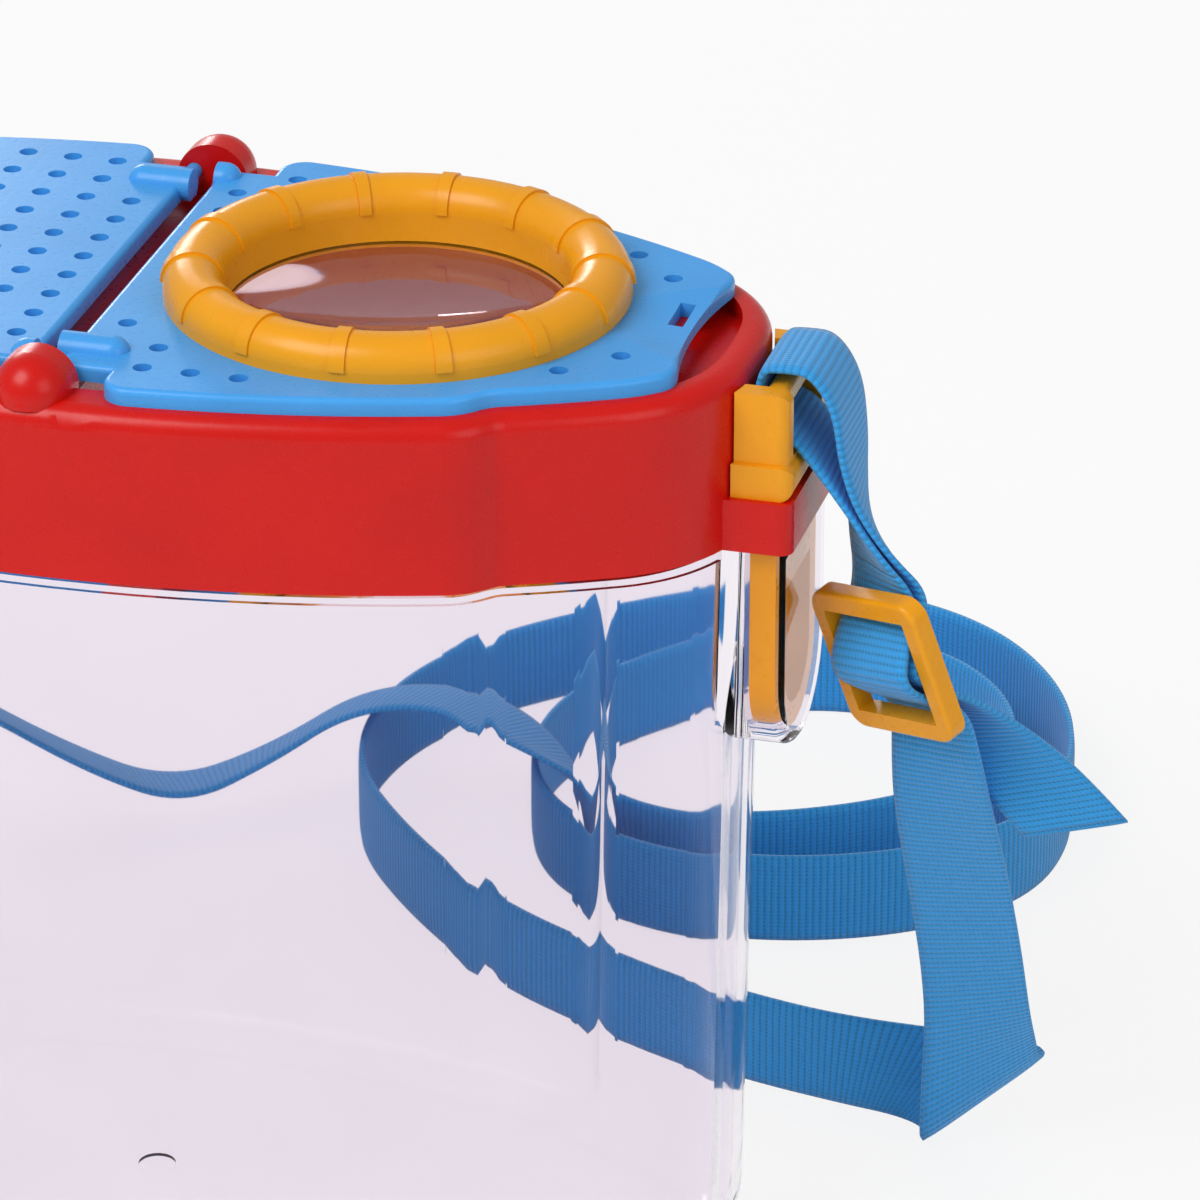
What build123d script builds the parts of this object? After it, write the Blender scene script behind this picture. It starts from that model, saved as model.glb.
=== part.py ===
import os
from math import cos, hypot, inf, radians, sin

from build123d import *

# Points closer together than this count as one
tolerance = 0.05

# Plan of the jar: a bowed middle section over a slightly narrower oval
half_length = 92.3
half_depth = 46.5
middle_bow_radius = 190.0
middle_half_length = half_length - 26.9
middle_corner_radius = 12.0
oval_step_in = 1.5
oval_bow_radius = 171.0
oval_end_radius = 67.0
oval_corner_radius = 24.0
step_fillet = 4.0

# Heights above the surface that the jar stands on
lid_bottom_z = 120.0
deck_z = 145.5
door_thickness = 2.5
door_top_z = deck_z + door_thickness

# Tank
tank_wall = 2.2
tank_floor = 2.6
tank_flange_inset = 0.4
tank_flange_height = 1.8
tank_wall_inset = 1.2
tank_draft_angle = 1.0
tank_base_fillet = 7.5
tank_neck_top_z = 137.0
gate_mark_diameter = 5.6
gate_mark_depth = 0.5
lid_to_neck_gap = 0.4

# Lid
lid_wall = 2.2
lid_edge_fillet = 3.0
deck_thickness = 4.0
deck_ledge = 4.5
deck_web = 1.5
crossbar_half_width = 4.0
crossbar_top_z = 143.0
crossbar_depth = 4.5
finger_recess_depth = 2.5
finger_recess_start_x = half_length - 12.3
finger_recess_rim = 4.2
finger_recess_half_width = 19.0

# Hinges of the doors
hinge_x = 2.8
hinge_z = deck_z + door_thickness / 2
pin_radius = 1.2
pin_length = 4.3
pin_clearance = 0.06
pin_end_gap = 0.3
dome_radius = 5.4
dome_inner_y = half_depth - 8.9
dome_top_z = 151.1
dome_root = 1.0

# Doors
door_inset = 3.0
door_inner_x = 2.0
door_end_x = half_length - 8.1
door_end_scoop = 1.7
door_end_chord = 30.0
door_corner_radius = 4.0
door_edge_fillet = 0.9
door_notch_x = 9.7
door_notch_y = dome_inner_y - 1.1
hole_diameter = 2.7
hole_pitch_x = 6.9
hole_pitch_y = 7.05
hole_columns = 12
hole_rows_each_side = 5
hole_edge_margin = 3.6
hole_ring_margin = 3.0
arm_radius = 2.4
arm_sink = 0.5
arm_y = door_notch_y - 6.1
arm_tip_x = 0.6
arm_root_x = 10.4
knuckle_root_x = 5.6
knuckle_y = door_notch_y - 2.4
catch_slot_size = (2.2, 7.4)
catch_slot_centre = (half_length - 12.3, 3.2)
catch_bare_x = half_length - 20.3
catch_bare_half_width = 10.0
dish_radius = 94.0
dish_start_x = half_length - 22.3
dish_slope_angle = 4.0
dish_length = 60.0

# Magnifier
ring_x = 39.7
ring_radius = 33.0
ring_bore_radius = 24.5
ring_height = 5.75
ring_neck_radius = 28.0
ring_neck_clearance = 0.1
ring_neck_bottom_z = 142.0
ring_grip_count = 14
ring_grip_rise = 0.35
ring_grip_angle = 4.0
lug_count = 3
lug_angle = 24.0
lug_reach = 2.0
lug_thickness = 1.3
lug_gap = 0.3
lug_notch_play = 4.0
twist_lock_angle = 60.0
lens_radius = 25.3
lens_edge_thickness = 2.0
lens_middle_thickness = 5.0
lens_z = 144.2
lens_clearance = 0.1

# Strap clips, their shelves on the lid and their pockets on the tank
tongue_x = half_length + 1.3
tongue_thickness = 3.6
tongue_half_width = 10.4
tongue_tip_z = 88.5
tongue_gap = 0.3
tongue_window_half_width = 7.2
tongue_window_z = (92.0, 112.0)
clip_half_width = 11.5
clip_outer_x = tongue_x + 5.4
clip_top_z = 143.2
clip_wall_gap = 0.35
clip_corner_fillet = 1.8
clip_ridge_height = 5.0
clip_ridge_proud = 0.8
shelf_half_width = 13.4
shelf_outer_x = tongue_x + 6.4
shelf_top_z = 127.7
shelf_corner_fillet = 2.0
strap_window_half_width = 8.3
strap_window_bottom_z = 133.0
strap_bar_x = tongue_x + 1.3
strap_bar_size = (3.2, 3.6)
strap_bar_top_z = 142.9
strap_bar_fillet = 1.1
pocket_outer_x = tongue_x + 5.3
pocket_inner_x = tongue_x - 6.6
pocket_half_width = tongue_half_width + 2.4
pocket_bottom_z = tongue_tip_z - 2.6
pocket_gap = 0.6
pocket_edge_fillet = 1.6

# Webbing and its slider
strap_width = 15.0
strap_thickness = 1.2
sections_per_span = 5
slider_centre = Vector(half_length + 19.4, -3.2, 100.6)
slider_across = Vector(0.820, -0.532, 0.206).normalized()
slider_down = Vector(0.310, 0.090, -0.947).normalized()
slider_front = slider_down.cross(slider_across).normalized()
slider_width = 21.2
slider_length = 22.6
slider_thickness = 3.0
slider_side = 2.6
slider_bar = 3.0
slider_middle_bar = 2.8
slider_middle_drop = 1.5
slider_edge_fillet = 0.7


def box_between(low, high):
    """A box from its lowest to its highest corner."""
    size = [b - a for a, b in zip(low, high)]
    return Pos(*low) * Box(*size, align=(Align.MIN, Align.MIN, Align.MIN))


def bowed(face, depth, radius):
    """The part of a face between a front and a back arc that bow out to depth."""
    circle = Circle(radius)
    for centre_y in (radius - depth, depth - radius):
        face &= Pos(0, centre_y) * circle
    return face


def middle_face(inset):
    face = Rectangle(2 * (middle_half_length - inset), 4 * half_depth)
    face = bowed(face, half_depth - inset, middle_bow_radius - inset)
    return fillet(face.vertices(), middle_corner_radius - inset)


def oval_face(inset):
    face = SlotCenterToCenter(2 * (half_length - oval_end_radius), 2 * (oval_end_radius - inset))
    face = bowed(face, half_depth - oval_step_in - inset, oval_bow_radius - inset)
    return fillet(face.vertices(), oval_corner_radius - inset)


def plan(inset):
    """Plan of the lid, drawn in by inset, with the four steps between its sections rounded."""
    middle = middle_face(inset)
    oval = oval_face(inset)
    known = middle.vertices() + oval.vertices()
    outline = middle + oval
    steps = [v for v in outline.vertices() if min(v.distance_to(k) for k in known) > tolerance]
    return fillet(steps, step_fillet + inset)


def prism(inset, low_z, high_z):
    return extrude(Pos(0, 0, low_z) * plan(inset), amount=high_z - low_z)


def both_ends(shape):
    """The shape at the right end and its mirror image at the left end."""
    return [shape, mirror(shape, about=Plane.YZ)]


def pocket_profile(half_width, bottom_z, top_z):
    """U-shaped upright profile, in the YZ plane."""
    centre_z = bottom_z + half_width
    straight = Pos(0, (centre_z + top_z) / 2) * Rectangle(2 * half_width, top_z - centre_z)
    return Plane.YZ * (straight + Pos(0, centre_z) * Circle(half_width))


def tank():
    flange_z = lid_bottom_z - tank_flange_height
    outside = extrude(
        Pos(0, 0, flange_z) * plan(tank_wall_inset), amount=flange_z, dir=(0, 0, -1), taper=tank_draft_angle
    )
    outside = fillet(outside.faces().sort_by(Axis.Z)[0].edges(), tank_base_fillet)
    inside = extrude(
        Pos(0, 0, flange_z) * plan(tank_wall_inset + tank_wall),
        amount=flange_z - tank_floor,
        dir=(0, 0, -1),
        taper=tank_draft_angle,
    )
    inside = fillet(inside.faces().sort_by(Axis.Z)[0].edges(), tank_base_fillet - tank_wall)
    neck_inset = lid_wall + lid_to_neck_gap
    body = outside + prism(tank_flange_inset, flange_z, lid_bottom_z)
    body += prism(neck_inset, flange_z, tank_neck_top_z)
    body += both_ends(pocket_block())
    body -= inside
    body -= prism(neck_inset + tank_wall, flange_z, tank_neck_top_z)
    body -= both_ends(pocket_hollow())
    return body - Cylinder(gate_mark_diameter / 2, 2 * gate_mark_depth)


def pocket_block():
    profile = pocket_profile(pocket_half_width, pocket_bottom_z, lid_bottom_z)
    depth = pocket_outer_x - pocket_inner_x
    block = Pos(pocket_inner_x, 0, 0) * extrude(profile, amount=depth, dir=(1, 0, 0))
    return fillet(block.faces().sort_by(Axis.X)[-1].edges(), pocket_edge_fillet)


def pocket_hollow():
    profile = pocket_profile(tongue_half_width + pocket_gap, tongue_tip_z - pocket_gap, tank_neck_top_z)
    length = tongue_thickness + 2 * pocket_gap
    return Pos(tongue_x - pocket_gap, 0, 0) * extrude(profile, amount=length, dir=(1, 0, 0))


def lid_frame():
    body = prism(0, lid_bottom_z, deck_z)
    body = fillet(body.faces().sort_by(Axis.Z)[-1].edges(), lid_edge_fillet)
    body += both_ends(shelf())
    body -= prism(lid_wall, lid_bottom_z, deck_z - deck_thickness)
    body -= both_ends(aperture())
    body -= both_ends(finger_recess())
    half_width = crossbar_half_width
    body -= box_between((-half_width, -dome_inner_y, crossbar_top_z), (half_width, dome_inner_y, door_top_z))
    under_bar_z = crossbar_top_z - crossbar_depth
    neck_y = half_depth - lid_wall
    body += box_between((-half_width, -neck_y, under_bar_z), (half_width, neck_y, crossbar_top_z))
    bores = pin_bores()
    for bearing in (hinge_dome(), mirror(hinge_dome(), about=Plane.XZ)):
        body += bearing
    return body - (bores + [mirror(bore, about=Plane.XZ) for bore in bores])


def shelf():
    low = (pocket_inner_x, -shelf_half_width, lid_bottom_z)
    block = box_between(low, (shelf_outer_x, shelf_half_width, shelf_top_z))
    block = fillet(block.edges().filter_by(Axis.Z).sort_by(Axis.X)[-2:], shelf_corner_fillet)
    slot_half_width = tongue_half_width + tongue_gap
    slot = box_between(
        (tongue_x - tongue_gap, -slot_half_width, lid_bottom_z),
        (tongue_x + tongue_thickness + tongue_gap, slot_half_width, shelf_top_z),
    )
    return block - slot


def aperture():
    opening = plan(door_inset + deck_ledge)
    length = finger_recess_start_x - deck_web - crossbar_half_width
    half = Pos(crossbar_half_width + length / 2, 0) * Rectangle(length, 2 * half_depth)
    return extrude(Pos(0, 0, deck_z - deck_thickness) * (opening & half), amount=deck_thickness)


def finger_recess():
    """Hollow at the end of the deck, for a finger under the door's edge."""
    width = half_length - finger_recess_start_x
    end = Pos(finger_recess_start_x + width / 2, 0) * Rectangle(width, 2 * finger_recess_half_width)
    floor_z = deck_z - finger_recess_depth
    return extrude(Pos(0, 0, floor_z) * (plan(finger_recess_rim) & end), amount=finger_recess_depth)


def hinge_dome():
    """Bullet-shaped bearing at the back end of the crossbar, flat towards the doors."""
    tip_y = half_depth - dome_radius
    slant = dome_radius * sin(radians(45))
    profile = make_face(
        [
            Polyline((0, half_depth), (0, dome_inner_y), (dome_radius, dome_inner_y), (dome_radius, tip_y)),
            ThreePointArc((dome_radius, tip_y), (slant, tip_y + slant), (0, half_depth)),
        ]
    )
    bullet = Pos(0, 0, dome_top_z - dome_radius) * revolve(profile, Axis.Y)
    root = (0, half_depth, deck_z - dome_root)
    return split(bullet, bisect_by=Plane(root), keep=Keep.TOP)


def pin_bores():
    depth = door_notch_y + pin_length + pin_end_gap - dome_inner_y
    bore = Rot(X=90) * Cylinder(pin_radius + pin_clearance, depth)
    return [Pos(x, dome_inner_y + depth / 2, hinge_z) * bore for x in (-hinge_x, hinge_x)]


def door_outline():
    """Plan of the right door, with its notches round the hinge domes and its scooped end."""
    length = door_end_x - door_inner_x
    blank = Pos(door_inner_x + length / 2, 0) * Rectangle(length, 2 * half_depth)
    outline = plan(door_inset) & blank
    chord = door_end_chord / 2
    scoop_radius = (chord**2 + door_end_scoop**2) / (2 * door_end_scoop)
    outline -= Pos(door_end_x + scoop_radius - door_end_scoop, 0) * Circle(scoop_radius)
    notch = Rectangle(door_notch_x, half_depth)
    outline -= [Pos(door_notch_x / 2, side * (door_notch_y + half_depth / 2)) * notch for side in (-1, 1)]
    points = outline.vertices()
    corners = [v for v in points if v.X > door_end_x - tolerance]
    by_notch = [v for v in points if abs(v.X - door_notch_x) < tolerance]
    corners += [v for v in by_notch if abs(v.Y) > door_notch_y + tolerance]
    return fillet(corners, door_corner_radius)


def door_blank():
    outline = door_outline()
    plate = extrude(Pos(0, 0, deck_z) * outline, amount=door_thickness)
    plate = fillet(plate.faces().sort_by(Axis.Z)[-1].edges(), door_edge_fillet)
    dish = Rot(Y=90 + dish_slope_angle) * Pos(-dish_radius, 0, 0) * Cylinder(dish_radius, dish_length)
    plate -= Pos(dish_start_x, 0, door_top_z) * dish
    width, length = catch_slot_size
    plate -= Pos(*catch_slot_centre, deck_z) * Box(width, length, 4 * door_thickness)
    plate += hinge_arm(-arm_y, arm_tip_x, arm_root_x)
    plate += hinge_arm(knuckle_y, door_inner_x, knuckle_root_x)
    pin = Rot(X=90) * Cylinder(pin_radius, 2 * pin_length)
    return plate + [Pos(hinge_x, side * door_notch_y, hinge_z) * pin for side in (-1, 1)]


def hinge_arm(y, tip_x, root_x):
    """Half-round bar along X, from the tip over the crossbar to its rounded root on the plate."""
    centre_z = door_top_z - arm_sink
    length = root_x - arm_radius - tip_x
    bar = Pos(tip_x + length / 2, y, centre_z) * Rot(Y=90) * Cylinder(arm_radius, length)
    bar += Pos(root_x - arm_radius, y, centre_z) * Sphere(arm_radius)
    keep = box_between((tip_x, y - arm_radius, deck_z), (root_x, y + arm_radius, door_top_z + arm_radius))
    return bar & keep


def hole_points(outline, clear_of_ring):
    """Air holes on a square grid about the middle of the jar, clear of edges, hinges and the ring."""
    room = offset(outline, amount=-hole_edge_margin).face()
    points = []
    for column in range(1, hole_columns + 1):
        for row in range(-hole_rows_each_side, hole_rows_each_side + 1):
            x = column * hole_pitch_x
            y = row * hole_pitch_y
            under_arm = x < arm_root_x and abs(y + arm_y) < arm_radius + hole_diameter
            by_catch = x > catch_bare_x and abs(y) < catch_bare_half_width
            under_ring = clear_of_ring and hypot(x - ring_x, y) < ring_radius + hole_ring_margin
            if room.is_inside((x, y, 0)) and not (under_arm or by_catch or under_ring):
                points.append((x, y))
    return points


def air_holes(points):
    drill = Cylinder(hole_diameter / 2, 4 * door_thickness)
    return [Pos(x, y, deck_z) * drill for x, y in points]


def right_door():
    door = door_blank() - air_holes(hole_points(door_outline(), True))
    door -= Pos(ring_x, 0, deck_z) * Cylinder(ring_neck_radius, 4 * door_thickness)
    notch_radius = ring_neck_radius + lug_reach + lug_gap
    notch = sector(ring_neck_radius - lug_reach, notch_radius, lug_angle + lug_notch_play, 4 * door_thickness)
    turned = Rot(Z=twist_lock_angle)
    return door - [Pos(ring_x, 0, deck_z) * turned * Rot(Z=angle) * notch for angle in lug_angles()]


def left_door():
    """The same moulding turned half round, without the opening for the magnifier."""
    door = door_blank() - air_holes(hole_points(door_outline(), False))
    return Rot(Z=180) * door


def lug_angles():
    return [360 / lug_count * index for index in range(lug_count)]


def sector(inner_radius, outer_radius, angle, height):
    """Part of a flat ring, centred on the X axis and on z = 0."""
    reach = 2 * outer_radius
    half = radians(angle / 2)
    edge = (reach * cos(half), reach * sin(half))
    wedge = make_face(Polyline((0, 0), (edge[0], -edge[1]), edge, close=True))
    flat = (Circle(outer_radius) - Circle(inner_radius)) & wedge
    return extrude(flat, amount=height / 2, both=True)


def magnifier_ring():
    neck_radius = ring_neck_radius - ring_neck_clearance
    round_radius = (ring_radius - ring_bore_radius) / 2
    crest_z = door_top_z + ring_height
    shoulder_z = crest_z - round_radius
    inner = ring_bore_radius
    profile = make_face(
        [
            Polyline((neck_radius, ring_neck_bottom_z), (inner, ring_neck_bottom_z), (inner, shoulder_z)),
            ThreePointArc((inner, shoulder_z), (inner + round_radius, crest_z), (ring_radius, shoulder_z)),
            Polyline((ring_radius, shoulder_z), (ring_radius, door_top_z), (neck_radius, door_top_z)),
            Line((neck_radius, door_top_z), (neck_radius, ring_neck_bottom_z)),
        ]
    )
    ring = revolve(Plane.XZ * profile, Axis.Z)
    upper_half = Pos(0, ring_height) * Rectangle(2 * ring_radius, 2 * ring_height)
    crown = Pos(inner + round_radius, shoulder_z) * (Circle(round_radius + ring_grip_rise) & upper_half)
    grip = revolve(Plane.XZ * crown, Axis.Z, ring_grip_angle)
    ring += [Rot(Z=360 / ring_grip_count * (index + 0.5)) * grip for index in range(ring_grip_count)]
    lug = sector(inner + lug_reach, neck_radius + lug_reach, lug_angle, lug_thickness)
    lug_z = deck_z - lug_gap - lug_thickness / 2
    ring += [Pos(0, 0, lug_z) * Rot(Z=angle) * lug for angle in lug_angles()]
    ring -= Pos(0, 0, lens_z) * Cylinder(lens_radius + lens_clearance, lens_edge_thickness)
    return Pos(ring_x, 0, 0) * ring


def magnifier_lens():
    """Lens with a flat rim, crowned on both faces."""
    edge = lens_edge_thickness / 2
    crown = ring_bore_radius - lens_clearance
    rise = (lens_middle_thickness - lens_edge_thickness) / 2
    face_radius = (crown**2 + rise**2) / (2 * rise)
    blank = Cylinder(lens_radius, lens_middle_thickness)
    dome = Pos(0, 0, edge + rise - face_radius) * Sphere(face_radius)
    crowned = dome & mirror(dome, about=Plane.XY) & blank
    return Pos(ring_x, 0, lens_z) * (crowned + Cylinder(lens_radius, lens_edge_thickness))


def right_clip():
    """Clip with a bar for the webbing at its top and a tongue that hangs in the tank's pocket."""
    inner_x = half_length - 2 * shelf_corner_fillet
    body = box_between((inner_x, -clip_half_width, shelf_top_z), (clip_outer_x, clip_half_width, clip_top_z))
    body = fillet(body.faces().sort_by(Axis.X)[-1].edges(), clip_corner_fillet)
    ridge_half_width = clip_half_width + clip_ridge_proud
    ridge = box_between(
        (inner_x, -ridge_half_width, shelf_top_z),
        (clip_outer_x + clip_ridge_proud, ridge_half_width, shelf_top_z + clip_ridge_height),
    )
    body += fillet(ridge.faces().sort_by(Axis.X)[-1].edges(), clip_corner_fillet)
    body -= prism(-clip_wall_gap, shelf_top_z, clip_top_z)
    window = strap_window_half_width
    body -= box_between((inner_x, -window, strap_window_bottom_z), (clip_outer_x, window, clip_top_z))
    body += strap_bar()
    return body + tongue()


def strap_bar():
    depth, height = strap_bar_size
    reach = strap_window_half_width + clip_corner_fillet
    bar = box_between(
        (strap_bar_x, -reach, strap_bar_top_z - height), (strap_bar_x + depth, reach, strap_bar_top_z)
    )
    return fillet(bar.edges().filter_by(Axis.Y), strap_bar_fillet)


def tongue():
    profile = pocket_profile(tongue_half_width, tongue_tip_z, shelf_top_z + clip_ridge_height / 2)
    plate = Pos(tongue_x, 0, 0) * extrude(profile, amount=tongue_thickness, dir=(1, 0, 0))
    window = pocket_profile(tongue_window_half_width, *tongue_window_z)
    return plate - Pos(tongue_x, 0, 0) * extrude(window, amount=tongue_thickness, dir=(1, 0, 0))


def left_clip():
    return mirror(right_clip(), about=Plane.YZ)


def strap_slider():
    """Frame with a middle bar set back, over which the webbing is threaded."""
    opening_width = slider_width - 2 * slider_side
    frame = RectangleRounded(slider_width, slider_length, slider_bar)
    frame -= Rectangle(opening_width, slider_length - 2 * slider_bar)
    solid = extrude(frame, amount=slider_thickness / 2, both=True)
    solid = fillet(solid.faces().sort_by(Axis.Z)[-1].outer_wire().edges(), slider_edge_fillet)
    depth = slider_thickness - slider_middle_drop
    middle_z = -slider_thickness / 2 + depth / 2
    solid += Pos(0, 0, middle_z) * Box(opening_width + slider_side, slider_middle_bar, depth)
    return Plane(slider_centre, x_dir=slider_across, z_dir=slider_front) * solid


def spans(points):
    """Quadratic curve pieces that run through the middles of a route's runs."""
    last = len(points) - 2
    pieces = []
    for index in range(1, last + 1):
        before, corner, after = points[index - 1 : index + 2]
        start = before if index == 1 else (before + corner) / 2
        end = after if index == last else (corner + after) / 2
        pieces.append((start, corner, end))
    return pieces


def on_span(span, t):
    start, corner, end = span
    return start * (1 - t) ** 2 + corner * (2 * t * (1 - t)) + end * t**2


def along_span(span, t):
    start, corner, end = span
    return (corner - start) * (1 - t) + (end - corner) * t


def bend_radius(span):
    """Smallest radius of a curve piece, which is found by sampling it."""
    start, corner, end = span
    turn = start - corner * 2 + end
    radii = []
    for step in range(sections_per_span + 1):
        along = along_span(span, step / sections_per_span)
        bend = along.cross(turn).length
        radii.append(2 * along.length**3 / bend if bend > 0 else inf)
    return min(radii)


def webbing(name, route):
    """Flat band along a route of points, each with the direction from one edge to the other."""
    centres = spans([Vector(*point) for point, across in route])
    widths = spans([Vector(*across) * strap_width for point, across in route])
    sections = []
    middles = []
    for number, (centre_span, width_span) in enumerate(zip(centres, widths)):
        first = 0 if number == 0 else 1
        for step in range(first, sections_per_span + 1):
            t = step / sections_per_span
            middle = on_span(centre_span, t)
            half = on_span(width_span, t) / 2
            rise = along_span(centre_span, t).cross(half).normalized() * (strap_thickness / 2)
            corners = [middle + half + rise, middle + half - rise, middle - half - rise, middle - half + rise]
            sections.append(Wire.make_polygon(corners, close=True))
            middles.append(middle)
    band = Solid.make_loft(sections, ruled=True)
    length = sum((b - a).length for a, b in zip(middles, middles[1:]))
    share = band.volume / (length * strap_width * strap_thickness)
    radius = min(bend_radius(span) for span in centres)
    print(f"{name}: length {length:.0f} mm, smallest bend radius {radius:.1f} mm")
    print(f"{name}: volume {share:.2f} of section times length")
    return band


# Directions from one edge of the webbing to the other
ON_EDGE = (0, 0, 1)
OVER_BAR = (0, -1, 0)
IN_SLIDER = tuple(slider_across)
BY_SLIDER = (0.74, -0.65, 0.17)
FOLD = (1.15, 0.29, 0.99)


def in_slider(down, front, across=IN_SLIDER):
    """Point of the webbing in the slider, measured from the slider's middle."""
    return tuple(slider_centre + slider_down * down + slider_front * front), across


def right_end(x, y, z, across=OVER_BAR):
    """Point of the webbing, measured along X from the right end of the jar."""
    return (half_length + x, y, z), across


def left_end(x, y, z, across=OVER_BAR):
    """Point of the webbing, measured along X from the left end of the jar."""
    return (-half_length - x, y, z), across


# Free end, then back through the slider under the other layer
tail_route = [
    right_end(44.1, 12.0, 70.1, (0.96, 0.24, 0.17)),
    right_end(37.6, 11.0, 77.7, (0.96, 0.15, 0.22)),
    right_end(30.6, 8.2, 85.8, (0.94, -0.15, 0.25)),
    in_slider(9.5, -7.1),
    in_slider(4.9, -2.0),
    in_slider(0.0, 2.2),
    in_slider(-4.9, -2.0),
    in_slider(-9.5, -6.4, BY_SLIDER),
]

# Up to the right clip, round its bar and down again
right_loop_route = [
    right_end(16.6, 0.2, 117.8, (0.45, -0.88, 0.10)),
    right_end(14.5, 0.0, 124.8, (0.15, -0.98, 0.05)),
    right_end(13.3, 0.0, 132.0),
    right_end(12.3, 0.0, 140.0),
    right_end(8.9, 0.0, 145.2),
    right_end(5.1, 0.0, 145.4),
    right_end(1.3, 0.0, 145.0),
    right_end(1.3, 0.0, 137.4),
    right_end(5.6, 0.0, 135.8),
    right_end(9.3, 0.0, 131.6),
    right_end(12.3, -0.2, 125.8, (0.15, -0.98, 0.05)),
    right_end(15.0, -1.0, 118.6, (0.45, -0.88, 0.10)),
]

# First layer in the slider, then down beside the tank and behind it to the left clip
main_route = [
    in_slider(-9.4, -4.4, BY_SLIDER),
    in_slider(-4.9, 0.6),
    in_slider(0.0, 4.4),
    in_slider(4.9, 0.6),
    in_slider(9.5, -4.8),
    # Down to a slanting fold on the floor
    right_end(25.3, 3.4, 84.0, (0.93, -0.34, 0.12)),
    right_end(25.3, 8.8, 72.8, (0.98, -0.08, 0.05)),
    right_end(25.9, 16.5, 58.0, (0.98, 0.14, 0.02)),
    right_end(26.6, 24.5, 41.0, (0.97, 0.22, 0.05)),
    right_end(26.6, 30.5, 27.0, (1.00, 0.25, 0.14)),
    right_end(26.0, 34.8, 17.5, (1.08, 0.28, 0.52)),
    right_end(25.6, 38.2, 7.9, FOLD),
    right_end(25.6, 43.4, 7.9, FOLD),
    right_end(16.2, 45.2, 7.9, (0.60, 0.10, 1.00)),
    # On edge behind the tank, in a large coil
    ((95.0, 46.0, 7.8), ON_EDGE),
    ((78.0, 49.5, 7.8), ON_EDGE),
    ((56.0, 57.0, 7.8), ON_EDGE),
    ((32.0, 70.0, 7.8), ON_EDGE),
    ((12.5, 89.0, 7.8), ON_EDGE),
    ((-2.0, 109.0, 7.8), ON_EDGE),
    ((-5.5, 130.0, 7.8), ON_EDGE),
    ((0.0, 151.5, 7.8), ON_EDGE),
    ((15.0, 171.0, 7.8), ON_EDGE),
    ((38.0, 188.0, 7.8), ON_EDGE),
    ((64.0, 195.0, 7.8), ON_EDGE),
    ((87.0, 186.5, 7.8), ON_EDGE),
    ((103.5, 166.5, 7.8), ON_EDGE),
    ((111.0, 142.0, 7.8), ON_EDGE),
    ((108.5, 118.5, 7.8), ON_EDGE),
    ((93.0, 102.0, 7.8), ON_EDGE),
    ((71.0, 93.0, 7.8), ON_EDGE),
    ((49.0, 93.5, 7.8), ON_EDGE),
    # A smaller coil inside it
    ((31.5, 104.5, 7.8), ON_EDGE),
    ((22.5, 126.0, 7.8), ON_EDGE),
    ((26.0, 149.5, 7.8), ON_EDGE),
    ((41.0, 168.0, 7.8), ON_EDGE),
    ((62.0, 178.5, 7.8), ON_EDGE),
    ((82.0, 174.5, 7.8), ON_EDGE),
    ((96.0, 160.0, 7.8), ON_EDGE),
    ((101.0, 141.0, 7.8), ON_EDGE),
    ((89.0, 121.0, 7.8), ON_EDGE),
    ((67.0, 107.5, 7.9), ON_EDGE),
    # Over both coils
    ((50.0, 105.5, 9.5), (0.10, -0.30, 0.95)),
    ((38.0, 108.5, 15.0), (0.00, -0.70, 0.72)),
    ((25.0, 117.0, 20.0), (-0.30, -0.91, 0.28)),
    ((10.0, 125.5, 21.0), (-0.25, -0.95, 0.18)),
    ((-6.0, 124.0, 19.0), (0.05, -0.98, 0.15)),
    ((-18.0, 114.5, 12.0), (0.28, -0.92, 0.28)),
    ((-31.0, 103.5, 8.2), (0.46, -0.86, 0.21)),
    # Up to the left clip
    ((-45.0, 95.0, 17.0), (0.60, -0.79, 0.10)),
    ((-60.0, 84.5, 31.0), (0.73, -0.69, 0.00)),
    ((-75.0, 70.0, 47.5), (0.77, -0.63, -0.13)),
    ((-88.0, 53.0, 64.0), (0.64, -0.69, -0.34)),
    left_end(5.7, 36.0, 82.0, (0.42, -0.77, -0.48)),
    left_end(11.7, 22.0, 98.0, (0.22, -0.83, -0.50)),
    left_end(14.3, 10.5, 110.5, (0.10, -0.90, -0.42)),
    left_end(14.1, 3.6, 119.3, (0.02, -0.98, -0.18)),
]

# Round the left clip's bar, with the end lying against the first leg
left_loop_route = [
    left_end(12.3, 0.4, 126.0),
    left_end(9.3, 0.0, 131.6),
    left_end(5.6, 0.0, 135.8),
    left_end(1.3, 0.0, 137.4),
    left_end(1.3, 0.0, 145.0),
    left_end(5.1, 0.0, 145.4),
    left_end(8.9, 0.0, 145.2),
    left_end(12.7, 0.0, 140.4),
    left_end(14.1, 0.3, 133.2),
    left_end(15.0, 1.3, 125.8),
    left_end(16.0, 3.4, 118.6, (0.02, -0.98, -0.18)),
]


def halfway(start, end):
    return tuple(tuple((a + b) / 2 for a, b in zip(u, v)) for u, v in zip(start, end))


def joined(routes):
    """Routes that follow one another, each lengthened to meet the next one halfway."""
    lengthened = [list(route) for route in routes]
    for index, (route, following) in enumerate(zip(routes, routes[1:])):
        meeting = halfway(route[-1], following[0])
        lengthened[index].append(meeting)
        lengthened[index + 1].insert(0, meeting)
    return lengthened


tail, right_loop, main, left_loop = joined([tail_route, right_loop_route, main_route, left_loop_route])

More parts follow.
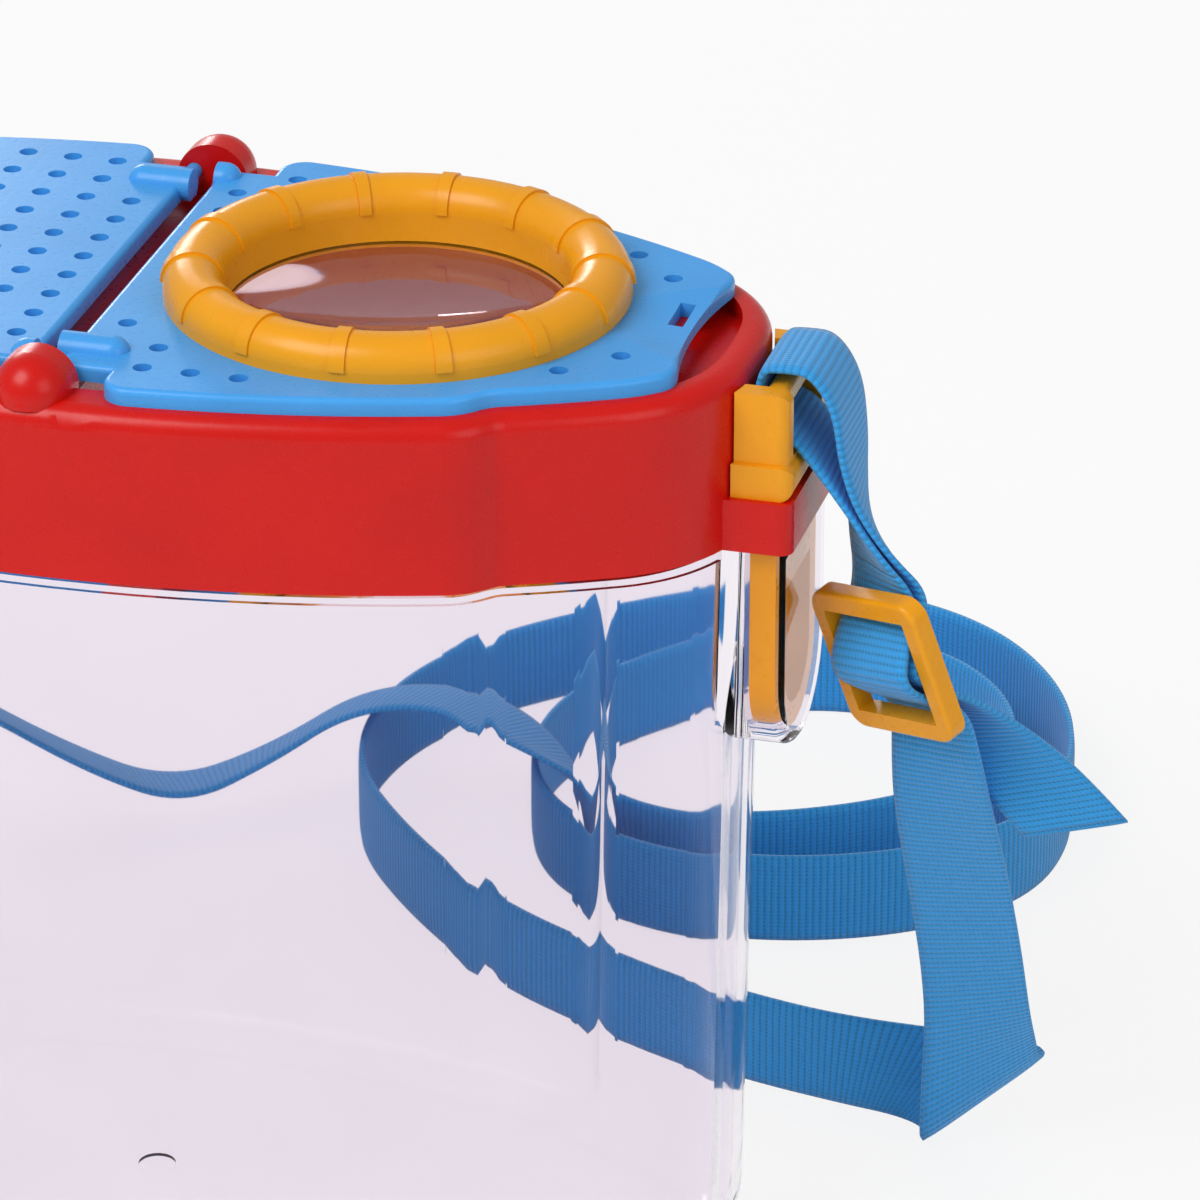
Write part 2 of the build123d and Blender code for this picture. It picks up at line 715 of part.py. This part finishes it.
parts = {
    "tank": tank(),
    "lid_frame": lid_frame(),
    "left_door": left_door(),
    "right_door": right_door(),
    "magnifier_ring": magnifier_ring(),
    "magnifier_lens": magnifier_lens(),
    "left_clip": left_clip(),
    "right_clip": right_clip(),
    "strap_slider": strap_slider(),
    "strap_right_loop": webbing("strap_right_loop", right_loop),
    "strap_tail": webbing("strap_tail", tail),
    "strap_main": webbing("strap_main", main),
    "strap_left_loop": webbing("strap_left_loop", left_loop),
}

os.makedirs("parts", exist_ok=True)
for node, solid in parts.items():
    export_step(solid, f"parts/{node}.step")
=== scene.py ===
from math import pi, radians

import bmesh
import bpy
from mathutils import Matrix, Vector


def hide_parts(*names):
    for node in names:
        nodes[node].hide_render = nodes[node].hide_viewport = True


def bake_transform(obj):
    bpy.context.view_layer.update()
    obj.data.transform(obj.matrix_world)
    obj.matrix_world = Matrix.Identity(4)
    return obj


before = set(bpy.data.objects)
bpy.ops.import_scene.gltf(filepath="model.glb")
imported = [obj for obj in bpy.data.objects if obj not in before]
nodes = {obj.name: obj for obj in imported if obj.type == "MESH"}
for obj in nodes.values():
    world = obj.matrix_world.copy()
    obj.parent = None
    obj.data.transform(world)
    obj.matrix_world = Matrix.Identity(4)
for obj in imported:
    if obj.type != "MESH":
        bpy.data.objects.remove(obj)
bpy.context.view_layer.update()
scene = bpy.context.scene

MM = 0.001

# Camera, as in the photograph
CAMERA_PLACE = (0.3081, -0.8726, 0.5358)
CAMERA_TURN = (radians(64.46), 0.0, radians(15.32))
CAMERA_LENS = 211.9
SENSOR = 36.0

# Webbing, in mm
STRAP_WIDTH = 15.0
STRAP_THICKNESS = 1.2
STRAP_EDGE_THICKNESS = 0.7
POINTS_ACROSS = 11
CURVE_STEPS = 10
SELVEDGE_POWER = 6

# Weave, in m, and the shares of its parts in the relief
RIB_PITCH = 0.0011
YARN_PITCH = 0.6 * RIB_PITCH
YARN_SHARE = 0.35
FUZZ_SHARE = 0.3
FUZZ_SCALE = 2500.0

# Plastics
PLASTIC_ROUGHNESS = 0.28
CLOUD_SCALE = 60.0
GRAIN_SCALE = 900.0
TANK_ROUGHNESS = 0.02
TANK_IOR = 1.13
LENS_ROUGHNESS = 0.01
LENS_IOR = 1.49
RIPPLE_SCALE = 25.0

# Jar and slider that the webbing is fixed to, in mm, as in the part's source
HALF_LENGTH = 92.3
SLIDER_CENTRE = Vector((HALF_LENGTH + 19.4, -3.2, 100.6))
SLIDER_ACROSS = Vector((0.820, -0.532, 0.206)).normalized()
SLIDER_DOWN = Vector((0.310, 0.090, -0.947)).normalized()
SLIDER_FRONT = SLIDER_DOWN.cross(SLIDER_ACROSS).normalized()

# Directions from one edge of the webbing to the other
ON_EDGE = (0, 0, 1)
OVER_BAR = (0, -1, 0)
IN_SLIDER = tuple(SLIDER_ACROSS)
BY_SLIDER = (0.74, -0.65, 0.17)
FOLD = (1.15, 0.29, 0.99)


def in_slider(down, front, across=IN_SLIDER):
    """Point of the webbing in the slider, measured from the slider's middle."""
    return tuple(SLIDER_CENTRE + SLIDER_DOWN * down + SLIDER_FRONT * front), across


def right_end(x, y, z, across=OVER_BAR):
    """Point of the webbing, measured along X from the right end of the jar."""
    return (HALF_LENGTH + x, y, z), across


def left_end(x, y, z, across=OVER_BAR):
    """Point of the webbing, measured along X from the left end of the jar."""
    return (-HALF_LENGTH - x, y, z), across


# Free end, then back through the slider under the other layer
tail_route = [
    right_end(44.1, 12.0, 70.1, (0.96, 0.24, 0.17)),
    right_end(37.6, 11.0, 77.7, (0.96, 0.15, 0.22)),
    right_end(30.6, 8.2, 85.8, (0.94, -0.15, 0.25)),
    in_slider(9.5, -7.1),
    in_slider(4.9, -2.0),
    in_slider(0.0, 2.2),
    in_slider(-4.9, -2.0),
    in_slider(-9.5, -6.4, BY_SLIDER),
]

# Up to the right clip, round its bar and down again
right_loop_route = [
    right_end(16.6, 0.2, 117.8, (0.45, -0.88, 0.10)),
    right_end(14.5, 0.0, 124.8, (0.15, -0.98, 0.05)),
    right_end(13.3, 0.0, 132.0),
    right_end(12.3, 0.0, 140.0),
    right_end(8.9, 0.0, 145.2),
    right_end(5.1, 0.0, 145.4),
    right_end(1.3, 0.0, 145.0),
    right_end(1.3, 0.0, 137.4),
    right_end(5.6, 0.0, 135.8),
    right_end(9.3, 0.0, 131.6),
    right_end(12.3, -0.2, 125.8, (0.15, -0.98, 0.05)),
    right_end(15.0, -1.0, 118.6, (0.45, -0.88, 0.10)),
]

# First layer in the slider, then down beside the tank and behind it to the left clip
main_route = [
    in_slider(-9.4, -4.4, BY_SLIDER),
    in_slider(-4.9, 0.6),
    in_slider(0.0, 4.4),
    in_slider(4.9, 0.6),
    in_slider(9.5, -4.8),
    # Down to a slanting fold on the floor
    right_end(25.3, 3.4, 84.0, (0.93, -0.34, 0.12)),
    right_end(25.3, 8.8, 72.8, (0.98, -0.08, 0.05)),
    right_end(25.9, 16.5, 58.0, (0.98, 0.14, 0.02)),
    right_end(26.6, 24.5, 41.0, (0.97, 0.22, 0.05)),
    right_end(26.6, 30.5, 27.0, (1.00, 0.25, 0.14)),
    right_end(26.0, 34.8, 17.5, (1.08, 0.28, 0.52)),
    right_end(25.6, 38.2, 7.9, FOLD),
    right_end(25.6, 43.4, 7.9, FOLD),
    right_end(16.2, 45.2, 7.9, (0.60, 0.10, 1.00)),
    # On edge behind the tank, in a large coil
    ((95.0, 46.0, 7.8), ON_EDGE),
    ((78.0, 49.5, 7.8), ON_EDGE),
    ((56.0, 57.0, 7.8), ON_EDGE),
    ((32.0, 70.0, 7.8), ON_EDGE),
    ((12.5, 89.0, 7.8), ON_EDGE),
    ((-2.0, 109.0, 7.8), ON_EDGE),
    ((-5.5, 130.0, 7.8), ON_EDGE),
    ((0.0, 151.5, 7.8), ON_EDGE),
    ((15.0, 171.0, 7.8), ON_EDGE),
    ((38.0, 188.0, 7.8), ON_EDGE),
    ((64.0, 195.0, 7.8), ON_EDGE),
    ((87.0, 186.5, 7.8), ON_EDGE),
    ((103.5, 166.5, 7.8), ON_EDGE),
    ((111.0, 142.0, 7.8), ON_EDGE),
    ((108.5, 118.5, 7.8), ON_EDGE),
    ((93.0, 102.0, 7.8), ON_EDGE),
    ((71.0, 93.0, 7.8), ON_EDGE),
    ((49.0, 93.5, 7.8), ON_EDGE),
    # A smaller coil inside it
    ((31.5, 104.5, 7.8), ON_EDGE),
    ((22.5, 126.0, 7.8), ON_EDGE),
    ((26.0, 149.5, 7.8), ON_EDGE),
    ((41.0, 168.0, 7.8), ON_EDGE),
    ((62.0, 178.5, 7.8), ON_EDGE),
    ((82.0, 174.5, 7.8), ON_EDGE),
    ((96.0, 160.0, 7.8), ON_EDGE),
    ((101.0, 141.0, 7.8), ON_EDGE),
    ((89.0, 121.0, 7.8), ON_EDGE),
    ((67.0, 107.5, 7.9), ON_EDGE),
    # Over both coils
    ((50.0, 105.5, 9.5), (0.10, -0.30, 0.95)),
    ((38.0, 108.5, 15.0), (0.00, -0.70, 0.72)),
    ((25.0, 117.0, 20.0), (-0.30, -0.91, 0.28)),
    ((10.0, 125.5, 21.0), (-0.25, -0.95, 0.18)),
    ((-6.0, 124.0, 19.0), (0.05, -0.98, 0.15)),
    ((-18.0, 114.5, 12.0), (0.28, -0.92, 0.28)),
    ((-31.0, 103.5, 8.2), (0.46, -0.86, 0.21)),
    # Up to the left clip
    ((-45.0, 95.0, 17.0), (0.60, -0.79, 0.10)),
    ((-60.0, 84.5, 31.0), (0.73, -0.69, 0.00)),
    ((-75.0, 70.0, 47.5), (0.77, -0.63, -0.13)),
    ((-88.0, 53.0, 64.0), (0.64, -0.69, -0.34)),
    left_end(5.7, 36.0, 82.0, (0.42, -0.77, -0.48)),
    left_end(11.7, 22.0, 98.0, (0.22, -0.83, -0.50)),
    left_end(14.3, 10.5, 110.5, (0.10, -0.90, -0.42)),
    left_end(14.1, 3.6, 119.3, (0.02, -0.98, -0.18)),
]

# Round the left clip's bar, with the end lying against the first leg
left_loop_route = [
    left_end(12.3, 0.4, 126.0),
    left_end(9.3, 0.0, 131.6),
    left_end(5.6, 0.0, 135.8),
    left_end(1.3, 0.0, 137.4),
    left_end(1.3, 0.0, 145.0),
    left_end(5.1, 0.0, 145.4),
    left_end(8.9, 0.0, 145.2),
    left_end(12.7, 0.0, 140.4),
    left_end(14.1, 0.3, 133.2),
    left_end(15.0, 1.3, 125.8),
    left_end(16.0, 3.4, 118.6, (0.02, -0.98, -0.18)),
]


def halfway(start, end):
    return tuple(tuple((a + b) / 2 for a, b in zip(u, v)) for u, v in zip(start, end))


# One band from the split to the free end, the other to the left clip
split = halfway(right_loop_route[-1], main_route[0])
loop_route = [split] + (tail_route + right_loop_route)[::-1]
long_route = [split] + main_route + left_loop_route


def smooth_line(points):
    """Points on a NURBS curve that has the given points, in mm, as its control points."""
    curve = bpy.data.curves.new("route", "CURVE")
    curve.dimensions = "3D"
    curve.resolution_u = CURVE_STEPS
    spline = curve.splines.new("NURBS")
    spline.points.add(len(points) - 1)
    for place, point in zip(spline.points, points):
        place.co = (*(point * MM), 1.0)
    spline.order_u = 3
    spline.use_endpoint_u = True
    holder = bpy.data.objects.new("route", curve)
    scene.collection.objects.link(holder)
    mesh = bpy.data.meshes.new_from_object(holder)
    line = [v.co.copy() for v in mesh.vertices]
    bpy.data.objects.remove(holder)
    bpy.data.curves.remove(curve)
    bpy.data.meshes.remove(mesh)
    return line


def edge_line(route, side):
    """Smooth line along one edge of the webbing."""
    return smooth_line([Vector(p) + Vector(a) * (side * STRAP_WIDTH / 2) for p, a in route])


def webbing(name, route):
    """Band between two edge lines, thinner at its selvedges; returns it with its centre line."""
    left = edge_line(route, -1)
    right = edge_line(route, 1)
    centre = [(a + b) / 2 for a, b in zip(left, right)]
    mesh = bmesh.new()
    uv = mesh.loops.layers.uv.new("webbing")
    last = len(centre) - 1
    shares = [2 * i / (POINTS_ACROSS - 1) - 1 for i in range(POINTS_ACROSS)]
    rings = []
    along = [0.0]
    for a, b in zip(centre, centre[1:]):
        along.append(along[-1] + (b - a).length)
    for i, middle in enumerate(centre):
        ahead = centre[min(i + 1, last)] - centre[max(i - 1, 0)]
        half = (right[i] - left[i]) / 2
        normal = ahead.cross(half).normalized()
        top = []
        bottom = []
        for share in shares:
            fall = share**SELVEDGE_POWER
            thick = STRAP_THICKNESS * (1 - fall) + STRAP_EDGE_THICKNESS * fall
            lift = normal * (thick / 2 * MM)
            base = middle + half * share
            top.append(mesh.verts.new(base + lift))
            bottom.append(mesh.verts.new(base - lift))
        rings.append(top + bottom[::-1])
    count = len(rings[0])
    across = [(s + 1) / 2 * STRAP_WIDTH * MM for s in shares]
    across += across[::-1]

    def quad(corners):
        face = mesh.faces.new([rings[i][j % count] for i, j in corners])
        face.smooth = True
        for loop, (i, j) in zip(face.loops, corners):
            loop[uv].uv = (along[i], across[j % count])

    for i in range(last):
        for j in range(count):
            quad([(i, j), (i, j + 1), (i + 1, j + 1), (i + 1, j)])
    for i, flip in ((0, False), (last, True)):
        for j in range(POINTS_ACROSS - 1):
            corners = [(i, j), (i, j + 1), (i, count - 2 - j), (i, count - 1 - j)]
            quad(corners if flip else corners[::-1])
    bmesh.ops.recalc_face_normals(mesh, faces=mesh.faces[:])
    data = bpy.data.meshes.new(name)
    mesh.to_mesh(data)
    mesh.free()
    piece = bpy.data.objects.new(name, data)
    scene.collection.objects.link(piece)
    return piece, centre, along[-1]


def new_material(name):
    material = bpy.data.materials.new(name)
    material.use_nodes = True
    tree = material.node_tree
    return material, tree, tree.nodes["Principled BSDF"]


def shade(colour, factor):
    return tuple(min(c * factor, 1.0) for c in colour[:3]) + (1.0,)


def linear(red, green, blue):
    """Scene colour from display values of 0 to 255."""

    def one(value):
        value /= 255
        return value / 12.92 if value <= 0.04045 else ((value + 0.055) / 1.055) ** 2.4

    return (one(red), one(green), one(blue), 1.0)


def moulded_plastic(name, colour, roughness, variation=0.05, grain=0.03):
    """Gloss plastic with a faint cloudiness, uneven gloss and the fine ripple of a moulding."""
    material, tree, surface = new_material(name)
    links = tree.links
    surface.inputs["Specular IOR Level"].default_value = 0.3
    place = tree.nodes.new("ShaderNodeTexCoord")
    cloud = tree.nodes.new("ShaderNodeTexNoise")
    cloud.inputs["Scale"].default_value = CLOUD_SCALE
    cloud.inputs["Detail"].default_value = 3.0
    links.new(place.outputs["Object"], cloud.inputs["Vector"])
    tint = tree.nodes.new("ShaderNodeValToRGB")
    tint.color_ramp.elements[0].position = 0.3
    tint.color_ramp.elements[0].color = shade(colour, 1 - variation)
    tint.color_ramp.elements[1].position = 0.7
    tint.color_ramp.elements[1].color = shade(colour, 1 + variation)
    links.new(cloud.outputs["Fac"], tint.inputs["Fac"])
    links.new(tint.outputs["Color"], surface.inputs["Base Color"])
    fine = tree.nodes.new("ShaderNodeTexNoise")
    fine.inputs["Scale"].default_value = GRAIN_SCALE
    fine.inputs["Detail"].default_value = 2.0
    links.new(place.outputs["Object"], fine.inputs["Vector"])
    gloss = tree.nodes.new("ShaderNodeMapRange")
    gloss.inputs["To Min"].default_value = roughness - 0.05
    gloss.inputs["To Max"].default_value = roughness + 0.07
    links.new(fine.outputs["Fac"], gloss.inputs["Value"])
    links.new(gloss.outputs["Result"], surface.inputs["Roughness"])
    bump = tree.nodes.new("ShaderNodeBump")
    bump.inputs["Strength"].default_value = grain
    bump.inputs["Distance"].default_value = 0.0004
    links.new(fine.outputs["Fac"], bump.inputs["Height"])
    links.new(bump.outputs["Normal"], surface.inputs["Normal"])
    return material


def clear_plastic(name, colour, roughness, ior):
    """Clear plastic with faint moulding ripples."""
    material, tree, surface = new_material(name)
    links = tree.links
    surface.inputs["IOR"].default_value = ior
    surface.inputs["Transmission Weight"].default_value = 1.0
    place = tree.nodes.new("ShaderNodeTexCoord")
    cloud = tree.nodes.new("ShaderNodeTexNoise")
    cloud.inputs["Scale"].default_value = RIPPLE_SCALE
    links.new(place.outputs["Object"], cloud.inputs["Vector"])
    tint = tree.nodes.new("ShaderNodeValToRGB")
    tint.color_ramp.elements[0].position = 0.35
    tint.color_ramp.elements[0].color = shade(colour, 0.99)
    tint.color_ramp.elements[1].position = 0.65
    tint.color_ramp.elements[1].color = shade(colour, 1.01)
    links.new(cloud.outputs["Fac"], tint.inputs["Fac"])
    links.new(tint.outputs["Color"], surface.inputs["Base Color"])
    gloss = tree.nodes.new("ShaderNodeMapRange")
    gloss.inputs["To Min"].default_value = roughness
    gloss.inputs["To Max"].default_value = roughness + 0.03
    links.new(cloud.outputs["Fac"], gloss.inputs["Value"])
    links.new(gloss.outputs["Result"], surface.inputs["Roughness"])
    bump = tree.nodes.new("ShaderNodeBump")
    bump.inputs["Strength"].default_value = 0.02
    bump.inputs["Distance"].default_value = 0.001
    links.new(cloud.outputs["Fac"], bump.inputs["Height"])
    links.new(bump.outputs["Normal"], surface.inputs["Normal"])
    return material


def wave_scale(pitch):
    """Scale of a band wave that repeats at the given pitch, in m."""
    return pi / (10 * pitch)


def woven(name, colour):
    """Webbing with ribs across it, on the band's own UV map, in metres, with painted shade in
    the weave's hollows and painted highlight on its ridges.
    """
    material, tree, surface = new_material(name)
    links = tree.links
    surface.inputs["Sheen Weight"].default_value = 0.25
    surface.inputs["Sheen Roughness"].default_value = 0.5
    surface.inputs["Roughness"].default_value = 0.75
    place = tree.nodes.new("ShaderNodeUVMap")
    place.uv_map = "webbing"
    ribs = tree.nodes.new("ShaderNodeTexWave")
    ribs.wave_type = "BANDS"
    ribs.bands_direction = "X"
    ribs.wave_profile = "SIN"
    ribs.inputs["Scale"].default_value = wave_scale(RIB_PITCH)
    ribs.inputs["Distortion"].default_value = 0.4
    ribs.inputs["Detail"].default_value = 1.0
    links.new(place.outputs["UV"], ribs.inputs["Vector"])
    yarns = tree.nodes.new("ShaderNodeTexWave")
    yarns.wave_type = "BANDS"
    yarns.bands_direction = "Y"
    yarns.wave_profile = "SIN"
    yarns.inputs["Scale"].default_value = wave_scale(YARN_PITCH)
    yarns.inputs["Distortion"].default_value = 0.6
    links.new(place.outputs["UV"], yarns.inputs["Vector"])
    weave = tree.nodes.new("ShaderNodeMath")
    weave.operation = "MULTIPLY_ADD"
    weave.inputs[1].default_value = YARN_SHARE
    links.new(yarns.outputs["Fac"], weave.inputs[0])
    links.new(ribs.outputs["Fac"], weave.inputs[2])
    fuzz = tree.nodes.new("ShaderNodeTexNoise")
    fuzz.inputs["Scale"].default_value = FUZZ_SCALE
    links.new(place.outputs["UV"], fuzz.inputs["Vector"])
    height = tree.nodes.new("ShaderNodeMath")
    height.operation = "MULTIPLY_ADD"
    height.inputs[1].default_value = FUZZ_SHARE
    links.new(fuzz.outputs["Fac"], height.inputs[0])
    links.new(weave.outputs["Value"], height.inputs[2])
    # Painted shade and painted highlight: the webbing is darkened in the low parts of the weave
    # and lightened on its ridges, following the bump's height with a random fuzz in it
    tint = tree.nodes.new("ShaderNodeValToRGB")
    tint.color_ramp.elements[0].position = 0.1
    tint.color_ramp.elements[0].color = shade(colour, 0.6)
    tint.color_ramp.elements[1].position = 1.2 / (1 + YARN_SHARE + FUZZ_SHARE)
    tint.color_ramp.elements[1].color = shade(colour, 1.12)
    links.new(height.outputs["Value"], tint.inputs["Fac"])
    links.new(tint.outputs["Color"], surface.inputs["Base Color"])
    bump = tree.nodes.new("ShaderNodeBump")
    bump.inputs["Strength"].default_value = 0.5
    bump.inputs["Distance"].default_value = 0.0003
    links.new(height.outputs["Value"], bump.inputs["Height"])
    links.new(bump.outputs["Normal"], surface.inputs["Normal"])
    return material


def paint(obj, material):
    obj.data.materials.clear()
    obj.data.materials.append(material)


# Camera first
camera_data = bpy.data.cameras.new("camera")
camera_data.lens = CAMERA_LENS
camera_data.sensor_width = SENSOR
camera = bpy.data.objects.new("camera", camera_data)
camera.location = CAMERA_PLACE
camera.rotation_euler = CAMERA_TURN
scene.collection.objects.link(camera)
scene.camera = camera

blue_webbing = woven("blue_webbing", linear(40, 152, 222))
strap_loop, loop_line, loop_length = webbing("webbing_loop", loop_route)
strap_main, main_line, main_length = webbing("webbing_main", long_route)
for strap in (strap_loop, strap_main):
    paint(strap, blue_webbing)
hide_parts("strap_right_loop", "strap_tail")
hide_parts("strap_main", "strap_left_loop")
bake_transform(strap_loop)
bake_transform(strap_main)

# Plastics
red = moulded_plastic("red_plastic", linear(208, 16, 8), PLASTIC_ROUGHNESS)
blue = moulded_plastic("blue_plastic", linear(70, 162, 236), PLASTIC_ROUGHNESS)
yellow = moulded_plastic("yellow_plastic", linear(240, 162, 22), PLASTIC_ROUGHNESS)
clear = clear_plastic("clear_plastic", linear(247, 242, 248), TANK_ROUGHNESS, TANK_IOR)
# The lens plastic is clear; its pink tint is painted, standing in for the red lid seen in the
# lens
lens_painted_pink = clear_plastic("clear_plastic_lens", linear(246, 222, 226), LENS_ROUGHNESS, LENS_IOR)
for name, material in {
    "tank": clear,
    "magnifier_lens": lens_painted_pink,
    "lid_frame": red,
    "left_door": blue,
    "right_door": blue,
    "magnifier_ring": yellow,
    "left_clip": yellow,
    "right_clip": yellow,
    "strap_slider": yellow,
}.items():
    paint(nodes[name], material)

# Floor just under the jar, seen as plain white with a faint shadow
FLOOR_SIZE = 6.0
FLOOR_GLOW = 0.85
FLOOR_GAP = 0.0003


def floor_material():
    material = bpy.data.materials.new("floor")
    material.use_nodes = True
    tree = material.node_tree
    links = tree.links
    tree.nodes.clear()
    out = tree.nodes.new("ShaderNodeOutputMaterial")
    matte = tree.nodes.new("ShaderNodeBsdfDiffuse")
    matte.inputs["Color"].default_value = (0.8, 0.8, 0.8, 1.0)
    glow = tree.nodes.new("ShaderNodeEmission")
    glow.inputs["Strength"].default_value = 1.0
    mix = tree.nodes.new("ShaderNodeMixShader")
    rays = tree.nodes.new("ShaderNodeLightPath")
    first = tree.nodes.new("ShaderNodeMath")
    first.operation = "MAXIMUM"
    second = tree.nodes.new("ShaderNodeMath")
    second.operation = "MAXIMUM"
    share = tree.nodes.new("ShaderNodeMath")
    share.operation = "MULTIPLY"
    share.inputs[1].default_value = FLOOR_GLOW
    links.new(rays.outputs["Is Camera Ray"], first.inputs[0])
    links.new(rays.outputs["Is Glossy Ray"], first.inputs[1])
    links.new(first.outputs[0], second.inputs[0])
    links.new(rays.outputs["Is Transmission Ray"], second.inputs[1])
    links.new(second.outputs[0], share.inputs[0])
    links.new(share.outputs[0], mix.inputs["Fac"])
    links.new(matte.outputs[0], mix.inputs[1])
    links.new(glow.outputs[0], mix.inputs[2])
    links.new(mix.outputs[0], out.inputs["Surface"])
    return material


floor_mesh = bmesh.new()
bmesh.ops.create_grid(floor_mesh, x_segments=1, y_segments=1, size=FLOOR_SIZE / 2)
floor_data = bpy.data.meshes.new("floor")
floor_mesh.to_mesh(floor_data)
floor_mesh.free()
floor = bpy.data.objects.new("floor", floor_data)
floor.location.z = -FLOOR_GAP
floor.data.materials.append(floor_material())
scene.collection.objects.link(floor)

# World: white where the camera and clear plastic look, softer as light and in the gloss
WORLD_LIGHT = 0.45
world = bpy.data.worlds.new("world")
world.use_nodes = True
tree = world.node_tree
back = tree.nodes["Background"]
back.inputs["Color"].default_value = (1.0, 1.0, 1.0, 1.0)
rays = tree.nodes.new("ShaderNodeLightPath")
seen = tree.nodes.new("ShaderNodeMath")
seen.operation = "MAXIMUM"
level = tree.nodes.new("ShaderNodeMapRange")
level.inputs["To Min"].default_value = WORLD_LIGHT
level.inputs["To Max"].default_value = 1.0
tree.links.new(rays.outputs["Is Camera Ray"], seen.inputs[0])
tree.links.new(rays.outputs["Is Transmission Ray"], seen.inputs[1])
tree.links.new(seen.outputs[0], level.inputs["Value"])
tree.links.new(level.outputs["Result"], back.inputs["Strength"])
scene.world = world


def area_light(name, place, target, size, power):
    data = bpy.data.lights.new(name, "AREA")
    data.shape = "RECTANGLE"
    data.size = size[0]
    data.size_y = size[1]
    data.energy = power
    lamp = bpy.data.objects.new(name, data)
    lamp.location = place
    lamp.rotation_euler = (Vector(target) - Vector(place)).to_track_quat("-Z", "Y").to_euler()
    scene.collection.objects.link(lamp)


# Two soft lights on the jar, and a small one behind that shows in the lens
JAR_MIDDLE = (0, 0, 0.1)
LENS_MIDDLE = (0.04, 0, 0.148)
SOFT_SIZE = (1.0, 1.0)
REAR_SIZE = (0.36, 0.18)
area_light("key", (-0.7, -1.0, 1.5), JAR_MIDDLE, SOFT_SIZE, 20)
area_light("fill", (1.3, -0.9, 0.9), JAR_MIDDLE, SOFT_SIZE, 5)
area_light("rear", (-0.60, 1.05, 0.43), LENS_MIDDLE, REAR_SIZE, 2.6)

scene.view_settings.view_transform = "Standard"
